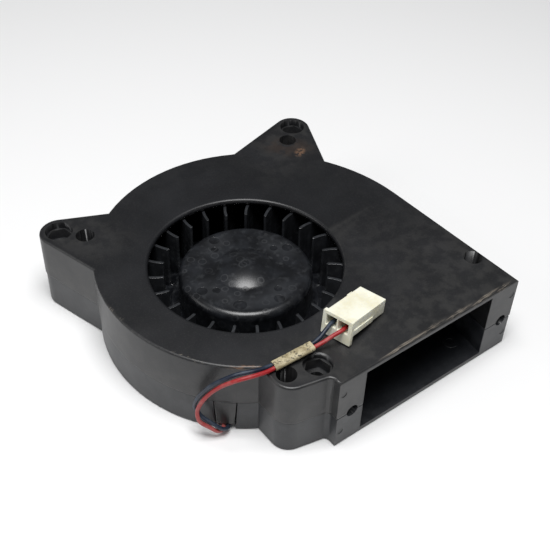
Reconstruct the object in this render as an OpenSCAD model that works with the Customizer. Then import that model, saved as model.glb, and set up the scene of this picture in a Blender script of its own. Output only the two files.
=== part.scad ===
// Radial DC blower: two-part scroll casing, bladed impeller on an external-rotor motor,
// and a two-wire lead with a marker sleeve and a two-way connector.
// Origin on the rotor axis in the base plane, +Z towards the inlet, outlet facing -Y.

/* [Casing] */
// Height of the casing over both shells
casing_h = 32; // [30:0.5:36]
// Height of the lower shell, from the base to the parting line
lower_h = 14.3; // [13.5:0.1:15]
// Thickness of the scroll wall
wall = 2.4; // [2:0.1:2.8]
// Thickness of the cover round the inlet
cover_t = 2; // [1.6:0.1:2.4]
// Thickness of the floor
floor_t = 2; // [1.8:0.1:2.2]
// Outer radius of the scroll arc beside the cutoff
scroll_r1 = 51.4; // [51:0.1:53]
// Outer radius of the scroll arc on the side away from the outlet
scroll_r2 = 59.6; // [58:0.1:61]
// Outer radius of the scroll arc above the outlet
scroll_r3 = 66; // [65:0.1:67.5]
// Radius of the inlet opening
inlet_r = 35.3; // [33:0.1:37]
// Rounding of the inlet lip
lip_round = 1.2; // [0.6:0.1:1.5]
// How far the lower shell stands back from the upper one
shell_step = 0.3; // [0.1:0.1:0.5]
// Height of the reveal groove under the parting line
seam_h = 0.4; // [0.2:0.1:0.8]
// Depth of the reveal groove under the parting line
seam_d = 0.5; // [0.2:0.1:0.8]

/* [Outlet] */
// Distance of the outlet face from the rotor axis
outlet_y = 65; // [62:0.5:70]
// Reach of the outlet block on the cutoff side of the axis
block_near = 10.2; // [9.6:0.1:11]
// Reach of the outlet block on the far side of the axis
block_far = 73.5; // [72.5:0.1:76]
// Near edge of the outlet opening
opening_near = 1.5; // [0.5:0.1:2.5]
// Far edge of the outlet opening
opening_far = 60.3; // [58:0.1:62]
// Rounding of the cutoff nose
nose_r = 1.5; // [1:0.1:2]
// Radius of the fixing holes in the outlet face
face_hole_r = 2.4; // [2:0.1:2.6]
// Depth of the fixing holes in the outlet face
face_hole_d = 10; // [8:0.5:12]
// Distance of the near face hole from the rotor axis
face_hole_near = 3.4; // [3:0.1:5]
// Distance of the far face hole from the rotor axis
face_hole_far = 68.5; // [67:0.1:69]

/* [Lugs] */
// Direction of the side lug
side_lug_angle = 131; // [128:1:134]
// Distance of the side lug's mounting hole from the rotor axis
side_lug_reach = 71.1; // [69:0.1:75]
// Direction of the rear lug
rear_lug_angle = 41; // [38:1:44]
// Distance of the rear lug's mounting hole from the rotor axis
rear_lug_reach = 88.3; // [86:0.1:92]
// Radius of a lug's tip round its mounting hole
lug_tip_r = 7.3; // [7:0.1:8]
// Angle between a lug's flank and its own direction
lug_flank = 25; // [22:1:28]
// Distance from a mounting hole in to the assembly screw beside it
screw_setback = 10.2; // [9.8:0.1:11]
// Corner radius of the front lug
front_lug_r = 7; // [6.5:0.1:7.5]
// Radius of a mounting hole
mount_hole_r = 2.6; // [2.2:0.1:2.8]
// Radius of the round recess over a mounting hole
recess_r = 5.1; // [4.8:0.1:5.4]
// Depth of the round recess
recess_d = 2.75; // [2:0.05:3.5]
// Width across the flats of the nut pocket
nut_af = 8.2; // [7:0.1:8.4]
// Depth of the nut pocket below the recess
nut_d = 4; // [3:0.1:5]

/* [Casing screws] */
// Distance of the corner screw from the far wall's corner
corner_screw_x = 4.8; // [4.6:0.1:5.5]
// Distance of the corner screw from the outlet face
corner_screw_y = 18.2; // [15:0.1:22]
// Radius of the counterbore over a casing screw
screw_bore_r = 3.5; // [3.2:0.1:3.7]
// Radius of a casing screw's head
screw_head_r = 3; // [2.6:0.1:3.1]
// Height of a casing screw's head
screw_head_h = 2.2; // [1.8:0.1:2.6]
// Radius of a casing screw's shank
screw_r = 1.4; // [1.2:0.05:1.6]
// Length of a casing screw's shank
screw_len = 13; // [10:0.5:14]
// Thickness of the web that a casing screw's head sits on
screw_web = 3; // [2:0.1:4]

/* [Impeller] */
// Number of blades
blade_count = 25; // [19:2:31]
// Radius at the blades' inner ends
blade_r_in = 30.3; // [29.5:0.1:31.5]
// Radius at the blades' tips
blade_r_out = 45; // [44:0.1:46]
// Thickness of a blade
blade_t = 1.1; // [0.9:0.1:1.4]
// Radius that a blade is curved to
blade_curve = 18; // [16:0.5:22]
// Running gap between the blades and the cover
blade_gap = 0.7; // [0.5:0.1:1.5]
// Outer radius of the hub
hub_r = 24.5; // [24.3:0.1:25.5]
// Drop from the cover's top to the hub's flat top
hub_drop = 3.8; // [3.5:0.1:5]
// Rounding of the hub's shoulder
hub_round = 2.8; // [2:0.1:3]
// Thickness of the hub's top
hub_top_t = 1.8; // [1.4:0.1:2.2]
// Thickness of the hub's side wall
hub_wall = 1.7; // [1.4:0.1:1.9]
// Radius of the dome on the hub
dome_r = 11.5; // [10:0.5:12.5]
// Height of the dome on the hub
dome_h = 3.1; // [2:0.1:3.4]
// Radius where the hub's foot runs into the cone
foot_r = 27.4; // [27:0.1:28]
// Height of the cone's top at the hub's foot
foot_z = 12.5; // [12:0.1:13.5]
// Thickness of the cone
cone_t = 1.5; // [1.2:0.1:1.8]
// Gap between the cone's rim and the floor
rim_gap = 3.2; // [3:0.1:4]
// Width of the band that joins the blade tips
band_t = 1.5; // [1.2:0.1:2]
// Height of the band that joins the blade tips
band_h = 2.4; // [1.8:0.1:3]
// Drop from the blades' tops to the band's top
band_drop = 0.4; // [0.3:0.1:1]

/* [Motor] */
// Radius of the shaft
shaft_r = 1.5; // [1.2:0.05:1.6]
// Outer radius of the bearing tube
tube_r = 5; // [4.8:0.1:5.4]
// Wall of the bearing tube
tube_wall = 1; // [0.8:0.1:1.2]
// Height of the flange that the shaft bushing has under the yoke
bushing_flange_h = 1.54; // [1.2:0.1:2]
// Thickness of the yoke
yoke_t = 1; // [0.8:0.1:1.2]
// Thickness of the magnet ring
magnet_t = 2.1; // [1.8:0.1:2.3]
// Height of the magnet ring
magnet_h = 13; // [11:0.5:14]
// Air gap between the magnet and the stator
air_gap = 0.5; // [0.4:0.1:0.8]
// Gap between the windings and the yoke above them
coil_gap = 1.74; // [1.2:0.1:2.5]
// Width of a stator arm
arm_w = 4; // [3:0.1:5]
// Thickness of the pole shoes
shoe_t = 2; // [1.6:0.1:2.4]
// Thickness of the insulators
insulator_t = 1; // [0.8:0.1:1.2]
// Thickness of the circuit board
board_t = 1.2; // [1:0.1:1.6]
// Outer radius of the circuit board
board_r = 19.2; // [18.5:0.1:20]

/* [Lead and connector] */
// Diameter of a wire over its insulation
wire_d = 1.45; // [1.3:0.05:1.5]
// Direction in which the wires leave the casing
wire_angle = 226.3; // [224:0.1:229]
// Width of the cord tongue at the parting line
tongue_top_w = 7.8; // [7:0.1:9]
// Width of the cord tongue at its foot
tongue_foot_w = 6.1; // [5.5:0.1:7]
// Height of the wire window under the tongue
window_h = 2.8; // [2.6:0.1:3.2]
// Gap each side of the cord tongue
tongue_gap = 0.35; // [0.2:0.05:0.5]
// Length of the marker sleeve
sleeve_len = 15; // [13:0.5:16]
// Width of the connector's body
conn_w = 10.7; // [10:0.1:12]
// Height of the connector's body
conn_h = 5.6; // [5.4:0.1:6.5]
// Length of the connector with its flange
conn_len = 20.8; // [19:0.1:23]
// Width of the connector's flange
flange_w = 11.8; // [11:0.1:13]
// Height of the connector's flange
flange_h = 9.4; // [9.1:0.1:10.5]
// Thickness of the connector's flange
flange_t = 1.4; // [1:0.1:1.8]
// Side of a wire cavity in the connector
cavity = 3.9; // [3.6:0.1:4]

/* [Hidden] */
$fn = 96;
fit = 0.03;      // clearance of pieces that sit in each other
running = 0.02;  // radial clearance of the shaft in its bearing
cut = 1;         // how far a cutting shape passes a face

// Scroll arcs: each arc's centre lies on the line through the joint with the arc before it
arc_joint_1 = 205;
arc_joint_2 = 75;
function polar(r, a) = [r * cos(a), r * sin(a)];
centre_1 = [0, 0];
centre_2 = centre_1 + polar(scroll_r1 - scroll_r2, arc_joint_1);
centre_3 = centre_2 + polar(scroll_r2 - scroll_r3, arc_joint_2);

// Far wall of the casing: a line from the outlet's corner that touches the last arc
function touch_angle(corner, centre, r) =
    let (v = corner - centre) atan2(v[1], v[0]) + acos(r / norm(v));

// Lugs
side_lug = polar(side_lug_reach, side_lug_angle);
rear_lug = polar(rear_lug_reach, rear_lug_angle);
front_lug = [-10.35, -53.85];
front_lug_corner = [-19.6, -51.7];
mount_holes = [side_lug, rear_lug, front_lug];
screw_holes = [
    polar(side_lug_reach - screw_setback, side_lug_angle),
    polar(rear_lug_reach - screw_setback, rear_lug_angle),
    [-21.3, -51.4],
    [block_far - corner_screw_x, corner_screw_y - outlet_y]
];
front_lug_end_y = 4.5 - outlet_y;
inner_fillet = 2;

// Heights of the casing
cover_z = casing_h - cover_t;
seat_z = lower_h + screw_web;
screw_tip_z = seat_z - screw_len;
pocket_z = casing_h - recess_d - nut_d;

// Heights of the rotor
blade_top = cover_z - blade_gap;
hub_top = casing_h - hub_drop;
cap_z = hub_top - hub_top_t;
skirt_z = floor_t + 6.5;
rim_z = floor_t + rim_gap + cone_t;
dome_sphere = (dome_r * dome_r + dome_h * dome_h) / (2 * dome_h);
foot_round = 3;
cone_slope = (foot_z - rim_z) / (blade_r_out - foot_r);

// Radii of the rotor, from the hub inwards
yoke_out = hub_r - hub_wall - fit;
magnet_out = yoke_out - yoke_t - fit;
magnet_in = magnet_out - magnet_t;
stator_r = magnet_in - air_gap;
tube_in = tube_r - tube_wall;
bushing_r = 4;
bushing_flange_r = 6;

// Heights of the motor
board_z = floor_t + 2.2;
neck_r = 7;
boss_r = 9;
core_z = floor_t + 9;
yoke_z = skirt_z;
yoke_top = cap_z - fit;
yoke_ceiling = yoke_top - yoke_t;
coil_over = 1.6;
coil_high_z = yoke_ceiling - coil_gap;
insulator_high_z = coil_high_z - coil_over - insulator_t;
core_h = insulator_high_z - fit - core_z;
insulator_low_z = core_z - insulator_t - fit;
coil_low_z = insulator_low_z - coil_over;
coil_in = 9.2;
coil_out = stator_r - shoe_t - 1.2;
coil_w = 10;
bearing_z = core_z - 2;
bushing_gap = 0.4;
bushing_z = yoke_ceiling - fit - bushing_flange_h;
tube_top = bushing_z - bushing_gap;
bearing_top = tube_top - 1.4;
bearing_len = bearing_top - bearing_z;
magnet_z = core_z - 1.5;
pad_t = 1.2;
pad_top = floor_t + pad_t;
shaft_z = pad_top + 0.05;
clip_z = bearing_z - 1.4;
clip_t = 0.6;
groove_r = shaft_r - 0.3;
shaft_top = cap_z - fit;

// Marks that the moulding tool leaves
mark_d = 0.15;
hub_marks = [
    for (k = [0:3]) [19.5, 1.5 + 90 * k, 1.95],
    for (k = [0:3]) [15.5, 12 + 90 * k, 1.45],
    [18.9, -132, 2.4]
];
pad_mark_r = 1.25;

// Wire channel under the floor
channel_w = 3.6;
channel_h = 2;
rib_w = channel_w + 2.4;
rib_h = channel_h + 1.2;
channel_start = 15;
rib_start = 20;
wire_z = 1;
wire_pitch = 1.56;
wire_start_r = 46.9;
tail_end_r = 17;
tail_z = 3.2;

// Marker sleeve
sleeve_start = [-23.4, -47.2, casing_h + 1.3];
sleeve_yaw = -5.4;
sleeve_rise = 5.8;
sleeve_w = 3.9;
sleeve_h = 2.2;

// Connector: place and turn of its flange's lower front edge
conn_at = [0.7, -49, casing_h + 0.6];
conn_turn = [-3, 9.3, 13];
conn_lift = flange_h - conn_h - 0.6;
cavity_y = 2.35;
cavity_z = conn_lift + conn_h / 2;
cavity_len = 14;
barrel_x = 9;
barrel_len = 5;
contact_len = 5.6;
contact_w = 1.9;

// Routes of the two wires, from the window to the contacts
red_route = [
    [-33, -33.4, 1], [-34.7, -35.2, 1], [-36.5, -37.4, 1.4], [-38.2, -38.4, 2.3],
    [-40.1, -38.4, 3.7], [-41.7, -37.4, 5.4], [-44.3, -35.4, 8.2], [-44.9, -34.6, 10.9],
    [-44.6, -34.2, 13.6], [-44, -35.3, 17.6], [-43, -36.8, 21.4], [-41.6, -38.7, 25.2],
    [-39.9, -41.2, 29], [-37.7, -43.8, 31.9], [-34.9, -45.8, 33.5], [-31, -47.2, 33.8],
    [-27, -47.8, 33.4], [-23.5, -48, 33.3], [-16.1, -48.7, 34.1], [-8.6, -49.4, 34.8],
    [-5, -49.9, 35.5], [-1.5, -50.5, 36.9], [2, -51, 37.8], [6, -49.9, 37.2],
    [10.7, -48.8, 36.4]
];
blue_route = [
    [-31.9, -34.5, 1], [-33.6, -36.3, 1], [-35.1, -38.2, 1.8], [-37.1, -39.3, 3.2],
    [-38.7, -39.1, 4.7], [-40.3, -37.6, 6.3], [-42.7, -34.2, 8.6], [-43.6, -32.5, 10.9],
    [-44.4, -32.1, 13.6], [-44.4, -33.3, 17.6], [-43.7, -34.9, 21.4], [-42.6, -36.8, 25.2],
    [-41, -39.1, 29], [-38.4, -41.6, 32.1], [-35.2, -43.5, 33.8], [-31, -45.4, 34.2],
    [-27, -46.2, 33.6], [-23.3, -46.4, 33.3], [-15.9, -47.1, 34.1], [-8.5, -47.8, 34.8],
    [-5, -47.7, 35.6], [-2, -47.1, 36.8], [0.9, -46.3, 37.6], [4.8, -45.4, 37],
    [9.6, -44.3, 36.2]
];
wire_sides = 8;
wire_steps = 2;

// ---- Shared outlines ----

// Points along an arc; the direction falls when from is over to
function arc(centre, r, from, to, step = 4) =
    let (n = max(1, ceil(abs(to - from) / step)))
    [for (i = [0:n]) centre + polar(r, from + (to - from) * i / n)];

// Where a line from p along v leaves a circle, going backwards into it
function enter(p, v, centre, r) =
    let (q = p - centre, b = q * v, c = q * q - r * r) p + v * (-b - sqrt(b * b - c));

function direction(from, to) = let (v = to - from) atan2(v[1], v[0]);

// A lug seen from above: flank, round tip, flank, each flank ending on a scroll arc
function lug_points(angle, reach, centre, r, d) =
    let (
        hole = polar(reach, angle),
        start = 270 + lug_flank,
        first = hole + polar(lug_tip_r + d, angle + start),
        last = hole + polar(lug_tip_r + d, angle - start),
        foot_first = enter(first, polar(1, angle + 180 + lug_flank), centre, r + d),
        foot_last = enter(last, polar(1, angle + 180 - lug_flank), centre, r + d)
    )
    concat(
        [foot_first],
        arc(hole, lug_tip_r + d, angle - 90 + lug_flank, angle + 90 - lug_flank, 10),
        [foot_last]
    );

// The front lug, from the scroll round to the outlet block's near corner
function front_lug_points(d) =
    let (
        r = front_lug_r + d,
        side_x = front_lug_corner[0] - r,
        lean = 260,
        turn = [-block_near - d - inner_fillet, front_lug_end_y - d - inner_fillet]
    )
    concat(
        [[side_x, -sqrt(pow(scroll_r1 + d, 2) - side_x * side_x)]],
        arc(front_lug_corner, r, 180, lean, 10),
        arc(turn, inner_fillet, 90, 0, 15)
    );

// Outline of a whole shell, grown or shrunk by d
function casing_points(d) =
    let (
        corner = [block_far + d, -outlet_y],
        touch = touch_angle(corner, centre_3, scroll_r3 + d),
        rear = lug_points(rear_lug_angle, rear_lug_reach, centre_3, scroll_r3, d),
        side = lug_points(side_lug_angle, side_lug_reach, centre_2, scroll_r2, d),
        front = front_lug_points(d)
    )
    concat(
        [[-block_near - d, -outlet_y], corner],
        arc(centre_3, scroll_r3 + d, touch, direction(centre_3, rear[0]) - 1),
        rear,
        arc(centre_2, scroll_r2 + d, direction(centre_2, rear[len(rear) - 1]) + 1,
            direction(centre_2, side[0]) - 1),
        side,
        arc(centre_2, scroll_r2 + d, direction(centre_2, side[len(side) - 1]) + 1, arc_joint_1 - 1),
        arc(centre_1, scroll_r1 + d, arc_joint_1, 359 + direction(centre_1, front[0])),
        front
    );

module casing_plan(d) {
    polygon(casing_points(d));
}

// The air space seen from above: the duct, the scroll and the rounded cutoff nose
module air_plan() {
    corner = [opening_far, -outlet_y];
    touch = touch_angle(corner, centre_3, scroll_r3 - wall);
    nose_x = opening_near - nose_r;
    nose = [nose_x, -sqrt(pow(scroll_r1 - wall + nose_r, 2) - nose_x * nose_x)];
    polygon(concat(
        [[opening_near, -outlet_y - cut], [opening_far, -outlet_y - cut], corner],
        arc(centre_3, scroll_r3 - wall, touch, arc_joint_2 - 2),
        arc(centre_2, scroll_r2 - wall, arc_joint_2, arc_joint_1 - 2),
        arc(centre_1, scroll_r1 - wall, arc_joint_1, 357 + direction(centre_1, nose)),
        arc(nose, nose_r, direction(nose, centre_1), 0, 15)
    ));
}

// Side view of the cord tongue, grown sideways by gap and downwards by drop
module tongue_side(gap, drop) {
    top = tongue_top_w / 2 + gap;
    foot = tongue_foot_w / 2 + gap;
    polygon([
        [-foot, window_h - drop], [foot, window_h - drop],
        [top, lower_h + cut], [-top, lower_h + cut]
    ]);
}

module tongue_prism(gap, drop) {
    rotate([0, 0, wire_angle])
        translate([scroll_r1 - wall - shell_step, 0, 0])
            rotate([90, 0, 90])
                linear_extrude(3 * wall) tongue_side(gap, drop);
}

// ---- Casing ----

module face_holes() {
    for (x = [-face_hole_near, face_hole_far])
        translate([x, -outlet_y - cut, lower_h])
            rotate([-90, 0, 0]) cylinder(r = face_hole_r, h = face_hole_d + cut);
}

module pad_marks(z) {
    for (x = [-block_near + 2.2, block_far - 2.2])
        translate([x, -outlet_y - cut, z])
            rotate([-90, 0, 0]) cylinder(r = pad_mark_r, h = cut + mark_d, $fn = 32);
}

module lower_casing() {
    bevel_h = lower_h - seam_h;
    color("#24252a") difference() {
        union() {
            difference() {
                union() {
                    linear_extrude(bevel_h) casing_plan(-shell_step);
                    linear_extrude(lower_h) casing_plan(-shell_step - seam_d);
                }
                translate([0, 0, floor_t]) linear_extrude(lower_h) air_plan();
            }
            motor_boss();
            wire_rib();
            floor_mark();
        }
        translate([0, 0, floor_t]) cylinder(r = tube_r + fit, h = lower_h);
        for (p = mount_holes)
            translate([p[0], p[1], -cut]) cylinder(r = mount_hole_r, h = lower_h + 2 * cut);
        for (p = screw_holes)
            translate([p[0], p[1], screw_tip_z - 0.5]) cylinder(r = screw_r + fit, h = lower_h);
        face_holes();
        pad_marks(lower_h - 7.6);
        tongue_prism(tongue_gap, window_h + cut);
        wire_channel();
    }
}

// Boss that holds the bearing tube, the circuit board and the stator
module motor_boss() {
    translate([0, 0, floor_t - 0.5]) {
        cylinder(r = boss_r, h = board_z - floor_t + 0.5);
        cylinder(r = neck_r, h = insulator_low_z - floor_t + 0.5);
    }
}

// Raised rib over the wire channel
module wire_rib() {
    rotate([0, 0, wire_angle])
        translate([rib_start, -rib_w / 2, 0]) cube([scroll_r1 - wall / 2 - rib_start, rib_w, rib_h]);
}

module wire_channel() {
    rotate([0, 0, wire_angle]) {
        translate([channel_start, -channel_w / 2, -cut])
            cube([scroll_r1 - channel_start, channel_w, channel_h + cut]);
        translate([channel_start, -channel_w / 2, -cut])
            cube([rib_start + 2 - channel_start, channel_w, board_z + cut]);
    }
}

// Low round mark on the duct floor near the outlet
module floor_mark() {
    translate([55.4, -54.8, floor_t - 0.5])
        difference() {
            cylinder(r = 3, h = 0.9);
            cylinder(r = 1.6, h = 2);
        }
}

module upper_casing() {
    color("#26272c") {
        difference() {
            translate([0, 0, lower_h]) linear_extrude(casing_h - lower_h) casing_plan(0);
            translate([0, 0, lower_h - cut]) linear_extrude(cover_z - lower_h + cut) air_plan();
            translate([0, 0, lower_h]) cylinder(r = inlet_r, h = casing_h);
            inlet_rounding();
            for (p = mount_holes) mount_recess(p);
            for (p = screw_holes) screw_well(p);
            face_holes();
            pad_marks(lower_h + 11.3);
        }
        cord_tongue();
    }
}

module inlet_rounding() {
    rotate_extrude($fn = 180)
        translate([inlet_r, casing_h - lip_round])
            difference() {
                translate([-cut, 0]) square([lip_round + cut, lip_round + cut]);
                translate([lip_round, 0]) circle(r = lip_round);
            }
}

module mount_recess(p) {
    translate([p[0], p[1], 0]) {
        translate([0, 0, lower_h - cut]) cylinder(r = mount_hole_r, h = casing_h);
        translate([0, 0, casing_h - recess_d]) cylinder(r = recess_r, h = recess_d + cut);
        translate([0, 0, pocket_z])
            rotate(rear_lug_angle) cylinder(r = nut_af / sqrt(3), h = nut_d + cut, $fn = 6);
    }
}

module screw_well(p) {
    translate([p[0], p[1], 0]) {
        translate([0, 0, seat_z]) cylinder(r = screw_bore_r, h = casing_h);
        translate([0, 0, lower_h - cut]) cylinder(r = screw_r + 0.3, h = casing_h);
    }
}

// Tongue that closes the notch over the wires
module cord_tongue() {
    intersection() {
        linear_extrude(lower_h + 0.5)
            difference() {
                casing_plan(0);
                air_plan();
            }
        tongue_prism(0, 0);
    }
}

module casing_screws() {
    color("#3a3b40")
        for (p = screw_holes)
            translate([p[0], p[1], 0])
                difference() {
                    union() {
                        translate([0, 0, screw_tip_z]) cylinder(r = screw_r, h = screw_len + 0.5);
                        translate([0, 0, seat_z]) cylinder(r = screw_head_r, h = screw_head_h);
                    }
                    for (a = [0, 90])
                        translate([0, 0, seat_z + screw_head_h])
                            rotate(a) cube([0.7 * screw_head_r * 2, 0.8, 2], center = true);
                }
}

// ---- Impeller ----

module hub_profile() {
    shoulder = hub_r - hub_round;
    square_h = hub_top - hub_round - skirt_z;
    translate([0, skirt_z]) square([hub_r, square_h]);
    translate([0, skirt_z]) square([shoulder, hub_top - skirt_z]);
    translate([shoulder, hub_top - hub_round]) circle(r = hub_round);
    intersection() {
        translate([0, hub_top + dome_h - dome_sphere]) circle(r = dome_sphere, $fn = 180);
        translate([0, hub_top - 0.5]) square([dome_r, dome_h + 1]);
    }
}

// The cone that carries the blades, with the rounding at the hub's foot
module cone_profile() {
    rise = cone_slope * (foot_r - hub_r + 0.5);
    polygon([
        [hub_r - 0.5, foot_z + rise - cone_t], [blade_r_out, rim_z - cone_t],
        [blade_r_out, rim_z], [hub_r - 0.5, foot_z + rise]
    ]);
    translate([hub_r - 0.5, foot_z - 0.5])
        difference() {
            square([foot_round + 0.5, foot_round + 1.4]);
            translate([foot_round + 0.5, foot_round + 1.4]) circle(r = foot_round);
        }
}

// One blade: an arc that starts along the radius and leans the way the rotor turns
module blade_plan() {
    half = blade_t / 2;
    translate([blade_r_in, 0]) circle(r = half, $fn = 24);
    intersection() {
        translate([blade_r_in, -blade_curve])
            difference() {
                circle(r = blade_curve + half);
                circle(r = blade_curve - half);
            }
        difference() {
            circle(r = blade_r_out - band_t / 2, $fn = 180);
            circle(r = blade_r_in - 0.1, $fn = 180);
        }
        translate([blade_r_in, -blade_curve]) square([2 * blade_curve, 2 * blade_curve]);
    }
}

module blades() {
    low = rim_z - cone_t + 0.2;
    for (k = [0:blade_count - 1])
        rotate(25.2 + 360 / blade_count * k)
            translate([0, 0, low]) linear_extrude(blade_top - low) blade_plan();
}

// Everything under the cone, which the blades don't reach into
module under_cone() {
    mid = cone_t / 2;
    rise = cone_slope * foot_r;
    rotate_extrude($fn = 180)
        polygon([
            [hub_r, 0], [blade_r_out + 2, 0],
            [blade_r_out + 2, rim_z - mid - 2 * cone_slope],
            [hub_r, foot_z + rise - cone_slope * hub_r - mid]
        ]);
}

module impeller() {
    color("#1c1d21")
        difference() {
            union() {
                rotate_extrude($fn = 180) {
                    hub_profile();
                    cone_profile();
                }
                difference() {
                    blades();
                    under_cone();
                }
                translate([0, 0, blade_top - band_drop - band_h])
                    difference() {
                        cylinder(r = blade_r_out, h = band_h, $fn = 180);
                        translate([0, 0, -cut])
                            cylinder(r = blade_r_out - band_t, h = band_h + 2 * cut, $fn = 180);
                    }
            }
            translate([0, 0, skirt_z - cut]) cylinder(r = hub_r - hub_wall, h = cap_z - skirt_z + cut);
            for (m = hub_marks)
                rotate(m[1])
                    translate([m[0], 0, hub_top - mark_d]) cylinder(r = m[2], h = cut, $fn = 48);
            translate([0, 0, hub_top + dome_h - mark_d]) cylinder(r = 1.3, h = cut, $fn = 32);
        }
}

// ---- Rotor ----

module rotor_yoke() {
    color("#8f9296")
        difference() {
            translate([0, 0, yoke_z]) cylinder(r = yoke_out, h = yoke_top - yoke_z);
            translate([0, 0, yoke_z - cut])
                cylinder(r = yoke_out - yoke_t, h = yoke_ceiling - yoke_z + cut);
            cylinder(r = bushing_r + fit, h = casing_h);
        }
}

module rotor_magnet() {
    color("#4a4642")
        translate([0, 0, magnet_z])
            difference() {
                cylinder(r = magnet_out, h = magnet_h);
                translate([0, 0, -cut]) cylinder(r = magnet_in, h = magnet_h + 2 * cut);
            }
}

module shaft_bushing() {
    color("#c9a45a")
        difference() {
            union() {
                translate([0, 0, bushing_z]) cylinder(r = bushing_r, h = yoke_top - bushing_z);
                translate([0, 0, bushing_z]) cylinder(r = bushing_flange_r, h = bushing_flange_h);
            }
            cylinder(r = shaft_r + fit, h = casing_h);
        }
}

module shaft() {
    color("#c3c6ca")
        difference() {
            translate([0, 0, shaft_z]) cylinder(r = shaft_r, h = shaft_top - shaft_z);
            translate([0, 0, clip_z - fit])
                difference() {
                    cylinder(r = shaft_r + cut, h = clip_t + 2 * fit);
                    cylinder(r = groove_r, h = clip_t + 2 * fit);
                }
        }
}

module retaining_clip() {
    color("#a8acb0")
        translate([0, 0, clip_z])
            difference() {
                cylinder(r = tube_in - 0.5, h = clip_t);
                translate([0, 0, -cut]) cylinder(r = groove_r + fit, h = clip_t + 2 * cut);
                translate([0, -groove_r * 0.8, -cut]) cube([tube_r, groove_r * 1.6, clip_t + 2 * cut]);
            }
}

// ---- Stator ----

module ring(r_out, r_in, z, h) {
    translate([0, 0, z])
        difference() {
            cylinder(r = r_out, h = h);
            translate([0, 0, -cut]) cylinder(r = r_in, h = h + 2 * cut);
        }
}

module bearing_tube() {
    color("#c9a45a") ring(tube_r, tube_in, floor_t, tube_top - floor_t);
}

module sleeve_bearing() {
    color("#a9743c") ring(tube_in - fit, shaft_r + running, bearing_z, bearing_len);
}

module oil_seal_washer() {
    color("#e8e4d8") ring(tube_in - fit, shaft_r + 0.1, bearing_top, 0.5);
}

module thrust_pad() {
    color("#e8e4d8") translate([0, 0, floor_t]) cylinder(r = tube_in - fit, h = pad_t);
}

// Four arms with pole shoes on a round hub
module stator_plan(arm, shoes) {
    difference() {
        union() {
            circle(r = 8);
            for (a = [0:90:270])
                rotate(a) translate([0, -arm / 2]) square([stator_r - shoe_t / 2, arm]);
            if (shoes)
                for (a = [0:90:270])
                    intersection() {
                        difference() {
                            circle(r = stator_r);
                            circle(r = stator_r - shoe_t);
                        }
                        rotate(a) polygon([[0, 0], polar(30, -38), polar(40, 0), polar(30, 38)]);
                    }
        }
        circle(r = tube_r + fit);
    }
}

module stator_core() {
    color("#8a8d92") translate([0, 0, core_z]) linear_extrude(core_h) stator_plan(arm_w, true);
}

module insulator(z) {
    color("#e6e2d4")
        translate([0, 0, z])
            linear_extrude(insulator_t)
                intersection() {
                    stator_plan(arm_w + 1, false);
                    circle(r = coil_out + 0.3);
                }
}

module lower_insulator() {
    insulator(insulator_low_z);
}

module upper_insulator() {
    insulator(insulator_high_z);
}

module stator_windings() {
    color("#b5652a")
        for (a = [0:90:270])
            rotate(a)
                difference() {
                    translate([coil_in, -coil_w / 2, coil_low_z])
                        cube([coil_out - coil_in, coil_w, coil_high_z - coil_low_z]);
                    translate([coil_in - cut, -arm_w / 2 - 0.5 - fit, insulator_low_z - fit])
                        cube([
                            coil_out - coil_in + 2 * cut, arm_w + 1 + 2 * fit,
                            insulator_high_z + insulator_t + fit - insulator_low_z + fit
                        ]);
                }
}

module winding_posts() {
    color("#c9a45a")
        for (a = [45, 135, 315])
            rotate(a)
                translate([10.5, 0, board_z - 0.8]) cylinder(r = 0.4, h = coil_low_z - board_z + 2, $fn = 24);
}

module circuit_board() {
    color("#2f6b4a")
        translate([0, 0, board_z])
            difference() {
                cylinder(r = board_r, h = board_t);
                translate([0, 0, -cut]) cylinder(r = neck_r + fit, h = board_t + 2 * cut);
                for (a = [45, 135, 315])
                    rotate(a) translate([10.5, 0, -cut]) cylinder(r = 0.4 + fit, h = board_t + 2 * cut, $fn = 24);
            }
}

module on_board(angle, radius, size) {
    rotate(angle)
        translate([radius, 0, board_z + board_t + size[2] / 2]) cube(size, center = true);
}

module hall_sensor() {
    color("#1d1d20") on_board(58, 17.2, [1.5, 4, 2.6]);
}

module driver_chip() {
    color("#1d1d20") on_board(180, 13.5, [4, 5, 1.6]);
}

module board_capacitors() {
    color("#b09a6a") {
        on_board(100, 14, [1.6, 3.2, 1.4]);
        on_board(118, 14, [1.6, 3.2, 1.4]);
    }
}

// ---- Lead ----

// Straight ends of the two wires in the channel under the floor, rising to the board
module lead_tails() {
    for (side = [[-1, "#a83238"], [1, "#1f2c40"]])
        color(side[1])
            rotate([0, 0, wire_angle])
                translate([0, side[0] * wire_pitch / 2, 0]) {
                    translate([tail_end_r, 0, wire_z])
                        rotate([0, 90, 0]) cylinder(d = wire_d, h = wire_start_r - tail_end_r, $fn = 24);
                    translate([tail_end_r, 0, wire_z]) sphere(d = wire_d, $fn = 24);
                    translate([tail_end_r, 0, wire_z])
                        cylinder(d = wire_d, h = board_z - wire_z - 0.05, $fn = 24);
                }
}

// Smooth curve through the route's points
function route_point(p, i, t) =
    let (
        n = len(p) - 1,
        a = p[max(i - 1, 0)],
        b = p[i],
        c = p[min(i + 1, n)],
        d = p[min(i + 2, n)]
    )
    0.5 * (2 * b + (c - a) * t + (2 * a - 5 * b + 4 * c - d) * t * t + (3 * b - a - 3 * c + d) * t * t * t);

function smooth(p) = concat(
    [for (i = [0:len(p) - 2], k = [0:wire_steps - 1]) route_point(p, i, k / wire_steps)],
    [p[len(p) - 1]]
);

function unit(v) = v / norm(v);
function tangent(p, i) = unit(p[min(i + 1, len(p) - 1)] - p[max(i - 1, 0)]);

// Normals carried along the route without twist
function carry(p, i, n) =
    i == len(p) ? [] : let (t = tangent(p, i), m = unit(n - t * (n * t))) concat([m], carry(p, i + 1, m));

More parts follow.
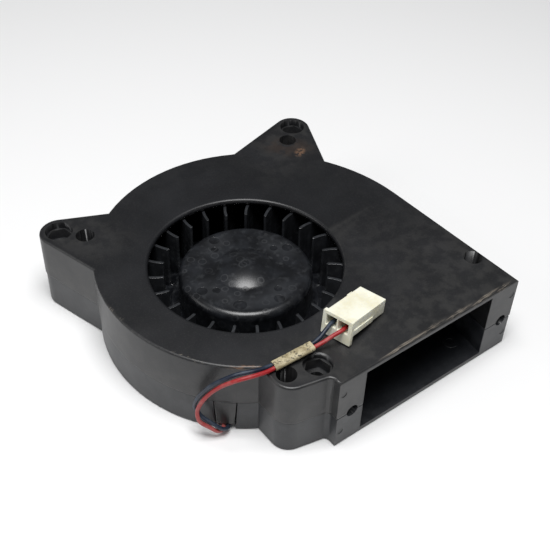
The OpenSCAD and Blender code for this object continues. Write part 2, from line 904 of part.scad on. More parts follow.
module tube_along(route, d) {
    p = smooth(route);
    normals = carry(p, 0, [0, 0, 1]);
    last = len(p) - 1;
    s = wire_sides;
    points = [
        for (i = [0:last])
            let (n = normals[i], b = cross(tangent(p, i), n))
            for (k = [0:s - 1])
                p[i] + d / 2 * (n * cos(360 * k / s) + b * sin(360 * k / s))
    ];
    sides = [
        for (i = [0:last - 1], k = [0:s - 1])
            [i * s + k, (i + 1) * s + k, (i + 1) * s + (k + 1) % s, i * s + (k + 1) % s]
    ];
    caps = [[for (k = [0:s - 1]) k], [for (k = [s - 1:-1:0]) last * s + k]];
    polyhedron(points, concat(sides, caps));
}

module red_wire() {
    color("#b23236") tube_along(red_route, wire_d);
}

module blue_wire() {
    color("#1f2c40") tube_along(blue_route, wire_d);
}

module marker_sleeve() {
    side = (sleeve_w - sleeve_h) / 2;
    color("#cdc3a5")
        translate(sleeve_start)
            rotate([0, 90 - sleeve_rise, sleeve_yaw])
                linear_extrude(sleeve_len)
                    difference() {
                        union() {
                            for (y = [-side, side]) translate([0, y]) circle(d = sleeve_h);
                            square([sleeve_h, 2 * side], center = true);
                        }
                        for (y = [-1, 1]) translate([0, y * wire_pitch / 2]) circle(d = wire_d + 2 * fit);
                    }
}

module connector_frame() {
    translate(conn_at) rotate(conn_turn) children();
}

module connector_housing() {
    latch_x = 13.5;
    color("#f2f3e4")
        connector_frame()
            difference() {
                union() {
                    translate([0, -flange_w / 2, 0]) cube([flange_t, flange_w, flange_h]);
                    translate([0, -conn_w / 2, conn_lift]) cube([conn_len, conn_w, conn_h]);
                    translate([flange_t - 0.1, -conn_w / 2 - 0.35, conn_lift])
                        cube([12, 0.4, conn_h * 0.4]);
                    translate([latch_x, conn_w / 2 - 0.1, conn_lift + conn_h - 1.6]) cube([3, 0.7, 1.2]);
                }
                for (y = [-cavity_y, cavity_y])
                    translate([0, y, cavity_z]) {
                        translate([cavity_len / 2 - cut, 0, 0])
                            cube([cavity_len + 2 * cut, cavity, cavity], center = true);
                        translate([conn_len / 2, 0, 0])
                            cube([conn_len + 2 * cut, contact_w + 0.6, contact_w + 0.6], center = true);
                    }
            }
}

module contact_terminals() {
    color("#c9b98a")
        connector_frame()
            for (y = [-cavity_y, cavity_y])
                translate([barrel_x + fit, y, cavity_z]) {
                    rotate([0, 90, 0])
                        cylinder(d = wire_d + 1, h = barrel_len, $fn = 32);
                    translate([barrel_len - 0.2, -contact_w / 2, -contact_w / 2])
                        cube([contact_len, contact_w, contact_w]);
                }
}

lower_casing();
upper_casing();
casing_screws();
impeller();
rotor_yoke();
rotor_magnet();
shaft_bushing();
shaft();
retaining_clip();
bearing_tube();
sleeve_bearing();
oil_seal_washer();
thrust_pad();
stator_core();
lower_insulator();
upper_insulator();
stator_windings();
winding_posts();
circuit_board();
hall_sensor();
driver_chip();
board_capacitors();
lead_tails();
red_wire();
blue_wire();
marker_sleeve();
connector_housing();
contact_terminals();
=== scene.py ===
"""Looks of a radial blower: scroll casing, bladed impeller on its motor, and a two-wire lead.

Everything is in the part's own frame: the rotor turns about Z, the inlet faces +Z and the
outlet faces -Y. Sizes are written in millimetres and turned to metres by MM.
"""

import logging
import math
from dataclasses import dataclass
from enum import Enum

import bmesh
import bpy
from mathutils import Matrix, Vector, noise


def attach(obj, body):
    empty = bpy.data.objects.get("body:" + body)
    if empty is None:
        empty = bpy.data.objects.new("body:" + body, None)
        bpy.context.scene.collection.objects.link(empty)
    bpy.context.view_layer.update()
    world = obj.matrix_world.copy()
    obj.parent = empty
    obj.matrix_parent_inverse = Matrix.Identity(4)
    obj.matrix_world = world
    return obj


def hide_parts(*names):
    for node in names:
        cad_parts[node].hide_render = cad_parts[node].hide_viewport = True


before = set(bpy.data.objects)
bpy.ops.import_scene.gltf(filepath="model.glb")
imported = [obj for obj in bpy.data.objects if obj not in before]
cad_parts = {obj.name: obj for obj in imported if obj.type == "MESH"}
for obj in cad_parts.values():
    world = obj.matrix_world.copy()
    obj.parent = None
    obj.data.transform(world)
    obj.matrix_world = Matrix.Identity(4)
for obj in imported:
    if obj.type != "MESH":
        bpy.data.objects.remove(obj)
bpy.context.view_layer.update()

LOG = logging.getLogger("blower")
MM = 0.001
# Mask of sharp convex edges: the casing paints them pale, partly as wear and partly as a painted highlight.
WEAR_AND_HIGHLIGHT = "edge_wear_and_highlight"
FLAT = 0.99995  # part of a face's normal along one axis, past which the face lies square to it
Point = tuple[float, float, float]


class Body(Enum):
    """The two bodies that pieces ride on."""

    CASING = "casing"
    ROTOR = "rotor"


class MarkKind(Enum):
    """What a mark on the casing is: short scratches, or a soft patch of painted glare."""

    STREAKS = "short parallel scratches"
    # Painted glare: a soft patch of lighter colour that stands for the lamp's reflection off the cover.
    STAIN = "a soft smear"


# ---- Small helpers ----


def metres(point: Point) -> Vector:
    """Turns a point in millimetres to metres."""
    return Vector(point) * MM


def colour(code: str) -> tuple[float, float, float, float]:
    """Turns an sRGB hex value to linear RGBA.

    Args:
        code: Six hex digits with a leading #.

    Returns:
        Red, green, blue and alpha, linear.
    """
    parts = [int(code[i : i + 2], 16) / 255 for i in (1, 3, 5)]
    linear = [c / 12.92 if c <= 0.04045 else ((c + 0.055) / 1.055) ** 2.4 for c in parts]
    return (*linear, 1.0)


def add_node(
    tree: bpy.types.NodeTree,
    kind: str,
    settings: dict | None = None,
    values: dict | None = None,
    links: dict | None = None,
) -> bpy.types.Node:
    """Adds a node with its settings, input values and incoming links.

    Args:
        tree: The node tree.
        kind: The node's type name.
        settings: Properties of the node, by name.
        values: Default values of its inputs, by name or number.
        links: Sources of its inputs, by name or number.

    Returns:
        The new node.
    """
    made = tree.nodes.new(kind)
    for name, value in (settings or {}).items():
        setattr(made, name, value)
    for name, value in (values or {}).items():
        made.inputs[name].default_value = value
    for name, source in (links or {}).items():
        tree.links.new(source, made.inputs[name])
    return made


def deselect() -> None:
    """Deselects every object."""
    bpy.ops.object.select_all(action="DESELECT")


def pick(obj: bpy.types.Object) -> None:
    """Makes obj the only selected object, and the active one."""
    deselect()
    obj.select_set(True)
    bpy.context.view_layer.objects.active = obj


def apply_modifiers(obj: bpy.types.Object) -> None:
    """Applies every modifier of obj, first to last."""
    pick(obj)
    for modifier in list(obj.modifiers):
        bpy.ops.object.modifier_apply(modifier=modifier.name)


def smooth(obj: bpy.types.Object, degrees: float = 32.0) -> None:
    """Shades obj smooth, with edges over the given angle kept sharp."""
    pick(obj)
    bpy.ops.object.shade_smooth_by_angle(angle=math.radians(degrees))


def even_normals(obj: bpy.types.Object) -> None:
    """Lets the large faces keep their own normals, so that only the roundings shade round."""
    weighted = obj.modifiers.new("even", "WEIGHTED_NORMAL")
    weighted.keep_sharp = True
    weighted.weight = 80
    apply_modifiers(obj)
    mesh = obj.data
    normals = [Vector(corner.vector) for corner in mesh.corner_normals]
    for face in mesh.polygons:
        if max(abs(part) for part in face.normal) > FLAT:
            for corner in face.loop_indices:
                normals[corner] = Vector(face.normal)
    mesh.normals_split_custom_set(normals)


def settle(obj: bpy.types.Object) -> None:
    """Puts the object's place into its mesh, so that the object sits at the origin."""
    pick(obj)
    bpy.ops.object.transform_apply(location=True, rotation=True, scale=True)


# ---- Finishes ----


@dataclass(frozen=True)
class Finish:
    """A surface: what it is made of and how it was made.

    Args:
        name: The material's name.
        base: Its colour.
        pale: The colour of dust and wear on it.
        roughness: Roughness of the clean surface.
        ior: Refractive index, or the metal default.
    """

    name: str
    base: str
    pale: str
    roughness: float
    ior: float = 1.5

    def material(self) -> bpy.types.Material:
        """Returns the finish's material, made at its first use."""
        found = bpy.data.materials.get(self.name)
        if found is not None:
            return found
        made = bpy.data.materials.new(self.name)
        made.use_nodes = True
        tree = made.node_tree
        tree.nodes.clear()
        output = add_node(tree, "ShaderNodeOutputMaterial")
        shader = add_node(tree, "ShaderNodeBsdfPrincipled", values={"IOR": self.ior})
        tree.links.new(shader.outputs["BSDF"], output.inputs["Surface"])
        place = add_node(tree, "ShaderNodeTexCoord").outputs["Object"]
        self.dress(tree, shader, place)
        return made

    def dress(self, tree: bpy.types.NodeTree, shader: bpy.types.Node, place: bpy.types.NodeSocket) -> None:
        """Adds the finish's own nodes.

        Args:
            tree: The material's nodes.
            shader: Its principled shader.
            place: Object coordinates.
        """
        raise NotImplementedError

    # Parts that the finishes share

    def noise(
        self,
        tree: bpy.types.NodeTree,
        place: bpy.types.NodeSocket,
        size: float,
        detail: float = 3.0,
        stretch: Point = (1, 1, 1),
        turn: float = 0.0,
        offset: Point = (0, 0, 0),
    ) -> bpy.types.NodeSocket:
        """Noise whose features have the given size in millimetres.

        Args:
            tree: The material's nodes.
            place: Coordinates.
            size: Feature size in millimetres.
            detail: Number of finer layers.
            stretch: How much longer a feature is along each axis.
            turn: Turn of the pattern about Z, in degrees.
            offset: Shift of the pattern, in millimetres.

        Returns:
            The noise value's socket.
        """
        spread = add_node(
            tree,
            "ShaderNodeMapping",
            settings={"vector_type": "TEXTURE"},
            values={"Location": metres(offset), "Rotation": (0, 0, math.radians(turn)), "Scale": stretch},
            links={"Vector": place},
        )
        made = add_node(
            tree,
            "ShaderNodeTexNoise",
            values={"Scale": 1 / (size * MM), "Detail": detail, "Roughness": 0.55},
            links={"Vector": spread.outputs["Vector"]},
        )
        return made.outputs["Fac"]

    def ramp(
        self,
        tree: bpy.types.NodeTree,
        source: bpy.types.NodeSocket,
        low: float,
        high: float,
        to: tuple[float, float] = (0, 1),
    ) -> bpy.types.NodeSocket:
        """A smooth step between two values.

        Args:
            tree: The material's nodes.
            source: What drives the step.
            low: Source value at which the step starts.
            high: Source value at which it ends.
            to: Values before and after the step.

        Returns:
            The stepped value's socket.
        """
        made = add_node(
            tree,
            "ShaderNodeMapRange",
            settings={"interpolation_type": "SMOOTHSTEP", "clamp": True},
            values={"From Min": low, "From Max": high, "To Min": to[0], "To Max": to[1]},
            links={"Value": source},
        )
        return made.outputs["Result"]

    def times(
        self, tree: bpy.types.NodeTree, a: bpy.types.NodeSocket, b: bpy.types.NodeSocket | float
    ) -> bpy.types.NodeSocket:
        """Multiplies two values.

        Args:
            tree: The material's nodes.
            a: The first value.
            b: The second value, a socket or a number.

        Returns:
            The product's socket.
        """
        made = add_node(tree, "ShaderNodeMath", settings={"operation": "MULTIPLY"}, links={0: a})
        if isinstance(b, (int, float)):
            made.inputs[1].default_value = b
        else:
            tree.links.new(b, made.inputs[1])
        return made.outputs["Value"]

    def larger(
        self, tree: bpy.types.NodeTree, a: bpy.types.NodeSocket, b: bpy.types.NodeSocket
    ) -> bpy.types.NodeSocket:
        """Takes the larger of two values.

        Args:
            tree: The material's nodes.
            a: The first value.
            b: The second value.

        Returns:
            The larger value's socket.
        """
        made = add_node(tree, "ShaderNodeMath", settings={"operation": "MAXIMUM"}, links={0: a, 1: b})
        return made.outputs["Value"]

    def blend(
        self,
        tree: bpy.types.NodeTree,
        share: bpy.types.NodeSocket,
        a: bpy.types.NodeSocket | str,
        b: bpy.types.NodeSocket | str,
    ) -> bpy.types.NodeSocket:
        """Mixes two colours, each a socket or a hex value.

        Args:
            tree: The material's nodes.
            share: How much of b shows.
            a: The colour at share 0.
            b: The colour at share 1.

        Returns:
            The mixed colour's socket.
        """
        made = add_node(tree, "ShaderNodeMix", settings={"data_type": "RGBA"}, links={0: share})
        for number, source in ((6, a), (7, b)):
            if isinstance(source, str):
                made.inputs[number].default_value = colour(source)
            else:
                tree.links.new(source, made.inputs[number])
        return made.outputs[2]

    def bump(
        self,
        tree: bpy.types.NodeTree,
        height: bpy.types.NodeSocket,
        depth: float,
        under: bpy.types.NodeSocket | None = None,
    ) -> bpy.types.NodeSocket:
        """Raises and lowers the surface.

        Args:
            tree: The material's nodes.
            height: The height pattern.
            depth: Its full height in millimetres.
            under: A bump that it lies on.

        Returns:
            The changed normal's socket.
        """
        made = add_node(
            tree, "ShaderNodeBump", values={"Strength": 1.0, "Distance": depth * MM}, links={"Height": height}
        )
        if under is not None:
            tree.links.new(under, made.inputs["Normal"])
        return made.outputs["Normal"]

    def specks(
        self, tree: bpy.types.NodeTree, place: bpy.types.NodeSocket, cell: float, size: float, share: float
    ) -> bpy.types.NodeSocket:
        """Scattered round specks.

        Args:
            tree: The material's nodes.
            place: Coordinates.
            cell: Mean distance between places for a speck, in millimetres.
            size: A speck's radius in millimetres.
            share: Share of the places that have one.

        Returns:
            A mask that is 1 in a speck.
        """
        cells = add_node(
            tree, "ShaderNodeTexVoronoi", values={"Scale": 1 / (cell * MM)}, links={"Vector": place}
        )
        near = self.ramp(tree, cells.outputs["Distance"], 0.6 * size / cell, size / cell, (1, 0))
        split = add_node(tree, "ShaderNodeSeparateColor", links={"Color": cells.outputs["Color"]})
        chosen = self.ramp(tree, split.outputs["Red"], 1 - share - 0.02, 1 - share)
        return self.times(tree, near, chosen)


@dataclass(frozen=True)
class Mark:
    """A worn place on the casing, or a patch of painted glare on it.

    Args:
        kind: Streaks or a stain.
        at: Its centre in millimetres.
        half: Half its length, width and height in millimetres.
        turn: Direction of its length, in degrees from +X.
        tint: Its colour.
        strength: How strongly it shows.
        grain: Length and width of a streak, or size of the painted glare's blotches, in millimetres.
        cover: Share of the place that is marked.
    """

    kind: MarkKind
    at: Point
    half: Point
    turn: float
    tint: str
    strength: float
    grain: tuple[float, float]
    cover: float = 0.4


@dataclass(frozen=True)
class MouldedPlastic(Finish):
    """Glass-filled polyester from a spark-eroded mould: satin, with a fine even grain and faint dust.

    Args:
        grain_mm: Size of the mould's grain. The real 0.1 mm is too fine to show, so it is drawn coarser.
        grain_depth: Depth of the grain in millimetres.
        cloud: The colour that wide clouds lean to.
        dust: Share of the places that have a dust speck.
        seam_z: Height of the parting line, whose flash rounds the walls next to it.
        seam_half: Half the width of that rounding.
        seam_depth: Its depth.
        marks: Scuffed places, and patches of painted glare.
    """

    grain_mm: float = 0.45
    grain_depth: float = 0.012
    cloud: str = "#131418"
    dust: float = 0.12
    seam_z: float = 14.3
    seam_half: float = 0.5
    seam_depth: float = 0.5
    marks: tuple[Mark, ...] = ()

    def dress(self, tree: bpy.types.NodeTree, shader: bpy.types.Node, place: bpy.types.NodeSocket) -> None:
        """Grain, clouds, dust specks, pale edges that are partly wear and partly painted highlight, and marks, some
        of them painted glare.
        """
        grain = self.noise(tree, place, self.grain_mm, 4)
        clouds = self.noise(tree, place, 22, 5)
        shade = self.blend(tree, self.ramp(tree, clouds, 0.35, 0.7), self.base, self.cloud)
        shade = self.blend(tree, self.times(tree, self.ramp(tree, grain, 0.5, 0.8), 0.35), shade, self.pale)
        specks = self.specks(tree, place, 3.2, 0.17, self.dust)
        shade = self.blend(tree, self.times(tree, specks, 0.5), shade, self.pale)
        # Pale edges: rubbed wear, plus a painted highlight along the rounded edges, broken into patches.
        edge = add_node(tree, "ShaderNodeAttribute", settings={"attribute_name": WEAR_AND_HIGHLIGHT}).outputs["Fac"]
        patch = self.ramp(tree, self.noise(tree, place, 5, 4), 0.4, 0.62, (0.25, 1))
        worn = self.times(tree, edge, patch)
        shade = self.blend(tree, self.times(tree, worn, 0.3), shade, self.pale)
        # Marks: scuffs, and patches of painted glare by the rear lug.
        for mark in self.marks:
            shade = self.blend(tree, self.mark_mask(tree, place, mark), shade, mark.tint)
        tree.links.new(shade, shader.inputs["Base Color"])
        rough = self.ramp(tree, clouds, 0.3, 0.75, (self.roughness - 0.04, self.roughness + 0.05))
        tree.links.new(rough, shader.inputs["Roughness"])
        height = add_node(tree, "ShaderNodeSeparateXYZ", links={"Vector": place}).outputs["Z"]
        off = add_node(
            tree,
            "ShaderNodeMath",
            settings={"operation": "SUBTRACT"},
            values={1: self.seam_z * MM},
            links={0: height},
        ).outputs["Value"]
        away = add_node(
            tree, "ShaderNodeMath", settings={"operation": "ABSOLUTE"}, links={0: off}
        ).outputs["Value"]
        seam = self.bump(tree, self.ramp(tree, away, 0.05 * MM, self.seam_half * MM), self.seam_depth)
        tree.links.new(self.bump(tree, grain, self.grain_depth, seam), shader.inputs["Normal"])

    def mark_mask(
        self, tree: bpy.types.NodeTree, place: bpy.types.NodeSocket, mark: Mark
    ) -> bpy.types.NodeSocket:
        """The share of a mark's colour at each place."""
        local = add_node(
            tree,
            "ShaderNodeMapping",
            settings={"vector_type": "TEXTURE"},
            values={
                "Location": metres(mark.at),
                "Rotation": (0, 0, math.radians(mark.turn)),
                "Scale": metres(mark.half),
            },
            links={"Vector": place},
        )
        reach = add_node(
            tree, "ShaderNodeVectorMath", settings={"operation": "LENGTH"}, links={0: local.outputs["Vector"]}
        )
        near = self.ramp(tree, reach.outputs["Value"], 0.35, 1.0, (1, 0))
        if mark.kind is MarkKind.STREAKS:
            length, width = mark.grain
            pattern = self.noise(tree, place, width, 2, (length / width, 1, 1), mark.turn, mark.at)
        else:
            # Painted glare: soft blotches that stand for the lamp's reflection off the cover.
            pattern = self.noise(tree, place, mark.grain[0], 5, offset=mark.at)
        low = 0.72 - 0.4 * mark.cover
        streaks_and_glare = self.ramp(tree, pattern, low, low + 0.12)
        return self.times(tree, self.times(tree, near, streaks_and_glare), mark.strength)


@dataclass(frozen=True)
class HubPlastic(Finish):
    """Nylon-like black of the impeller: smoother and glossier than the casing, with dried water marks.

    Args:
        drop_mm: Mean distance between dried drops.
        dried_rough: How much rougher the dried film is.
    """

    drop_mm: float = 4.2
    dried_rough: float = 0.16

    def dress(self, tree: bpy.types.NodeTree, shader: bpy.types.Node, place: bpy.types.NodeSocket) -> None:
        """Flow clouds, dried drops with rings, dust and pale worn edges."""
        clouds = self.noise(tree, place, 7, 5)
        fine = self.noise(tree, place, 0.6, 4)
        shade = self.blend(tree, self.ramp(tree, clouds, 0.35, 0.75), self.base, "#202226")
        drops = add_node(
            tree, "ShaderNodeTexVoronoi", values={"Scale": 1 / (self.drop_mm * MM)}, links={"Vector": place}
        )
        wobble = self.times(tree, fine, 0.12)
        ring_at = add_node(
            tree,
            "ShaderNodeMath",
            settings={"operation": "ADD"},
            links={0: drops.outputs["Distance"], 1: wobble},
        ).outputs["Value"]
        outer = self.ramp(tree, ring_at, 0.42, 0.46, (1, 0))
        inner = self.ramp(tree, ring_at, 0.34, 0.4)
        split = add_node(tree, "ShaderNodeSeparateColor", links={"Color": drops.outputs["Color"]})
        chosen = self.ramp(tree, split.outputs["Green"], 0.55, 0.75)
        rings = self.times(tree, self.times(tree, outer, inner), chosen)
        shade = self.blend(tree, self.times(tree, rings, 0.16), shade, self.pale)
        film = self.times(tree, self.ramp(tree, self.noise(tree, place, 2.4, 5), 0.5, 0.72), 0.22)
        shade = self.blend(tree, film, shade, self.pale)
        dust = self.specks(tree, place, 1.7, 0.12, 0.12)
        shade = self.blend(tree, self.times(tree, dust, 0.5), shade, self.pale)
        edge = add_node(tree, "ShaderNodeAttribute", settings={"attribute_name": WEAR_AND_HIGHLIGHT}).outputs["Fac"]
        shade = self.blend(tree, self.times(tree, edge, 0.3), shade, self.pale)
        tree.links.new(shade, shader.inputs["Base Color"])
        dried = self.larger(tree, film, rings)
        rough = self.ramp(tree, dried, 0.0, 0.5, (self.roughness, self.roughness + self.dried_rough))
        tree.links.new(rough, shader.inputs["Roughness"])
        tree.links.new(self.bump(tree, fine, 0.006), shader.inputs["Normal"])


@dataclass(frozen=True)
class WireVinyl(Finish):
    """Extruded PVC insulation: satin, faintly drawn along its length and dusty where it was handled."""

    dusty_low: float = 0.0

    def dress(self, tree: bpy.types.NodeTree, shader: bpy.types.Node, place: bpy.types.NodeSocket) -> None:
        """Handling marks, dust and the extruder's faint waviness."""
        marks = self.noise(tree, place, 3.5, 4)
        waves = self.noise(tree, place, 1.1, 3)
        handled = self.times(tree, self.ramp(tree, marks, 0.45, 0.72), 0.3)
        shade = self.blend(tree, handled, self.base, self.pale)
        height = add_node(tree, "ShaderNodeSeparateXYZ", links={"Vector": place}).outputs["Z"]
        low = self.times(tree, self.ramp(tree, height, 4 * MM, 26 * MM, (1, 0)), self.dusty_low)
        shade = self.blend(tree, low, shade, self.pale)
        specks = self.specks(tree, place, 0.9, 0.09, 0.15)
        shade = self.blend(tree, self.times(tree, specks, 0.4), shade, self.pale)
        tree.links.new(shade, shader.inputs["Base Color"])
        rough = self.ramp(tree, marks, 0.35, 0.7, (self.roughness, self.roughness + 0.15))
        tree.links.new(rough, shader.inputs["Roughness"])
        tree.links.new(self.bump(tree, waves, 0.02), shader.inputs["Normal"])


@dataclass(frozen=True)
class SleeveVinyl(Finish):
    """Shrunk marker tube: beige and matt, with the remains of black marking rubbed to blotches."""

    ink: str = "#25221f"

    def dress(self, tree: bpy.types.NodeTree, shader: bpy.types.Node, place: bpy.types.NodeSocket) -> None:
        """Blotches of worn ink, grime and a crinkled surface."""
        grime = self.noise(tree, place, 2.2, 4)
        shade = self.blend(tree, self.ramp(tree, grime, 0.4, 0.7), self.base, self.pale)
        blots = self.noise(tree, place, 0.55, 2, (1.6, 0.8, 1), -35)
        worn = self.noise(tree, place, 2.6, 3, offset=(4, 1, 0))
        ink = self.times(tree, self.ramp(tree, blots, 0.52, 0.6), self.ramp(tree, worn, 0.45, 0.55))
        shade = self.blend(tree, self.times(tree, ink, 0.85), shade, self.ink)
        tree.links.new(shade, shader.inputs["Base Color"])
        shader.inputs["Roughness"].default_value = self.roughness
        crinkle = self.bump(tree, self.noise(tree, place, 0.8, 3), 0.06)
        tree.links.new(crinkle, shader.inputs["Normal"])


@dataclass(frozen=True)
class MouldedNylon(Finish):
    """Natural nylon of the connector and the motor's small parts: milky, with soft gloss."""

    scatter: float = 0.12

    def dress(self, tree: bpy.types.NodeTree, shader: bpy.types.Node, place: bpy.types.NodeSocket) -> None:
        """Yellowed clouds, a little grime and light inside the plastic."""
        clouds = self.noise(tree, place, 6, 4)
        shade = self.blend(tree, self.ramp(tree, clouds, 0.4, 0.75), self.base, self.pale)
        grime = self.times(tree, self.ramp(tree, self.noise(tree, place, 1.4, 5), 0.62, 0.8), 0.25)
        shade = self.blend(tree, grime, shade, "#a89a78")
        tree.links.new(shade, shader.inputs["Base Color"])
        shader.inputs["Subsurface Weight"].default_value = self.scatter
        shader.inputs["Subsurface Radius"].default_value = (1.0, 0.9, 0.6)
        shader.inputs["Subsurface Scale"].default_value = 1.2 * MM
        rough = self.ramp(tree, clouds, 0.3, 0.7, (self.roughness, self.roughness + 0.1))
        tree.links.new(rough, shader.inputs["Roughness"])
        tree.links.new(self.bump(tree, self.noise(tree, place, 0.7, 3), 0.008), shader.inputs["Normal"])


class Making(Enum):
    """How a metal part was made: the stretch of its tool marks along X, Y and Z."""

    TURNED = (1, 1, 0.03)
    GROUND = (1, 1, 0.12)
    STAMPED = (1.6, 1, 1)
    LAMINATED = (40, 40, 0.35)
    WOUND = (30, 30, 0.3)


@dataclass(frozen=True)
class Metal(Finish):
    """A bare or plated metal with its tool marks."""

    making: Making = Making.TURNED
    line_mm: float = 0.5
    depth: float = 0.01
    metallic: float = 1.0

    def dress(self, tree: bpy.types.NodeTree, shader: bpy.types.Node, place: bpy.types.NodeSocket) -> None:
        """Tool marks, tarnish and uneven gloss."""
        lines = self.noise(tree, place, self.line_mm, 3, self.making.value)
        tarnish = self.noise(tree, place, 3, 4)
        shade = self.blend(tree, self.ramp(tree, tarnish, 0.4, 0.75), self.base, self.pale)
        tree.links.new(shade, shader.inputs["Base Color"])
        shader.inputs["Metallic"].default_value = self.metallic
        rough = self.ramp(tree, lines, 0.3, 0.7, (self.roughness - 0.05, self.roughness + 0.12))
        tree.links.new(rough, shader.inputs["Roughness"])
        tree.links.new(self.bump(tree, lines, self.depth), shader.inputs["Normal"])


@dataclass(frozen=True)
class Mineral(Finish):
    """A pressed or fired piece: ferrite, a chip's epoxy, a board's lacquer or a capacitor's ceramic."""

    grain_mm: float = 0.25
    depth: float = 0.01

    def dress(self, tree: bpy.types.NodeTree, shader: bpy.types.Node, place: bpy.types.NodeSocket) -> None:
        """Pressed grain and uneven tone."""
        grain = self.noise(tree, place, self.grain_mm, 4)
        shade = self.blend(tree, self.ramp(tree, grain, 0.4, 0.7), self.base, self.pale)
        tree.links.new(shade, shader.inputs["Base Color"])
        rough = self.ramp(tree, grain, 0.3, 0.7, (self.roughness - 0.05, self.roughness + 0.1))
        tree.links.new(rough, shader.inputs["Roughness"])
        tree.links.new(self.bump(tree, grain, self.depth), shader.inputs["Normal"])


COVER_MARKS = (
    Mark(MarkKind.STREAKS, (18, -64.1, 32), (13, 0.9, 2), 2, "#8d8478", 0.7, (6, 0.32), 0.75),
    Mark(MarkKind.STREAKS, (31, -63.8, 32), (8, 1.2, 2), 4, "#8d8478", 0.65, (5, 0.3), 0.6),
    Mark(MarkKind.STREAKS, (44, -63.9, 32), (8, 1.1, 2), 3, "#8d8478", 0.7, (5, 0.3), 0.65),
    Mark(MarkKind.STREAKS, (57, -64.0, 32), (9, 1.0, 2), 5, "#8d8478", 0.7, (5, 0.3), 0.7),
    Mark(MarkKind.STREAKS, (66.5, -64.2, 32), (5, 1.2, 2), 8, "#8d8478", 0.6, (4, 0.3), 0.6),
    Mark(MarkKind.STREAKS, (-52.4, 6, 32), (11, 1.8, 2), 96, "#8a8378", 0.55, (0.5, 2.6), 0.4),
    Mark(MarkKind.STREAKS, (-42.6, -27, 32), (9, 1.2, 2), 122, "#8a8378", 0.5, (2, 0.4), 0.4),
    Mark(MarkKind.STREAKS, (-30, -41, 32), (9, 1.0, 2), 146, "#7d5c42", 0.6, (4, 0.4), 0.6),
    # Painted glare by the rear lug: a tan patch inside a wider brown haze, both the lamp's reflection painted on.
    Mark(MarkKind.STAIN, (58.0, 41.6, 32), (4.5, 2.6, 3), 35, "#8a6a52", 0.6, (1.6, 0), 0.75),
    Mark(MarkKind.STAIN, (56, 47, 32), (14, 9, 3), -40, "#3a2c22", 0.35, (5, 0), 0.8),
)

CASING_TOP = MouldedPlastic(
    "satin_polyester_cover", "#0f1013", "#464543", 0.42, 1.57, marks=COVER_MARKS
)
CASING_LOW = MouldedPlastic(
    "satin_polyester_base", "#101217", "#46484b", 0.4, 1.57, cloud="#14171c", dust=0.06
)
IMPELLER_BLACK = HubPlastic("glossy_impeller_nylon", "#0d0e11", "#46484b", 0.3, 1.53)
BLACK_OXIDE = Metal("blackened_screw_steel", "#2c2c2e", "#4a4844", 0.38, making=Making.STAMPED)
PLATED_YOKE = Metal("drawn_plated_yoke", "#9a9da1", "#77797c", 0.32, making=Making.STAMPED)
GROUND_SHAFT = Metal("ground_shaft_steel", "#b9bcc0", "#9a9da0", 0.2, making=Making.GROUND, depth=0.003)
SPRING_CLIP = Metal("stamped_spring_steel", "#9da0a4", "#6f7174", 0.3, making=Making.STAMPED)
TURNED_BRASS = Metal("turned_brass", "#c8a35a", "#9a7a3c", 0.26, making=Making.TURNED)
OILED_BRONZE = Metal("oiled_sintered_bronze", "#8f6233", "#5e4022", 0.42, making=Making.STAMPED, line_mm=0.2)
LAMINATIONS = Metal("stacked_laminations", "#7d8085", "#55585c", 0.4, making=Making.LAMINATED, depth=0.05)
ENAMELLED_COPPER = Metal(
    "enamelled_copper_winding", "#a8571f", "#6d3210", 0.25, making=Making.WOUND, depth=0.08
)
TINNED_BRASS = Metal("tinned_contact_brass", "#c2b48c", "#8f8260", 0.3, making=Making.STAMPED)
FERRITE = Mineral("sintered_ferrite", "#36332f", "#4b4742", 0.6)
SOLDER_MASK = Mineral("green_board_lacquer", "#1e5a3c", "#2a6e4c", 0.35, grain_mm=1.2, depth=0.004)
CHIP_EPOXY = Mineral("moulded_chip_epoxy", "#1b1b1d", "#2a2a2c", 0.55)
CERAMIC = Mineral("fired_capacitor_ceramic", "#a98f5e", "#c0a878", 0.45)
NATURAL_NYLON = MouldedNylon("natural_motor_nylon", "#d9d2bd", "#c4b998", 0.42)
CONNECTOR_NYLON = MouldedNylon("cream_connector_nylon", "#f1f0df", "#e4dfc4", 0.4)
RED_VINYL = WireVinyl("red_wire_vinyl", "#98181d", "#b9857f", 0.42, dusty_low=0.2)
BLUE_VINYL = WireVinyl("navy_wire_vinyl", "#111c2e", "#5a6878", 0.42, dusty_low=0.1)
MARKER_VINYL = SleeveVinyl("beige_marker_vinyl", "#b8ad8d", "#8f8263", 0.55)


# ---- The studio ----


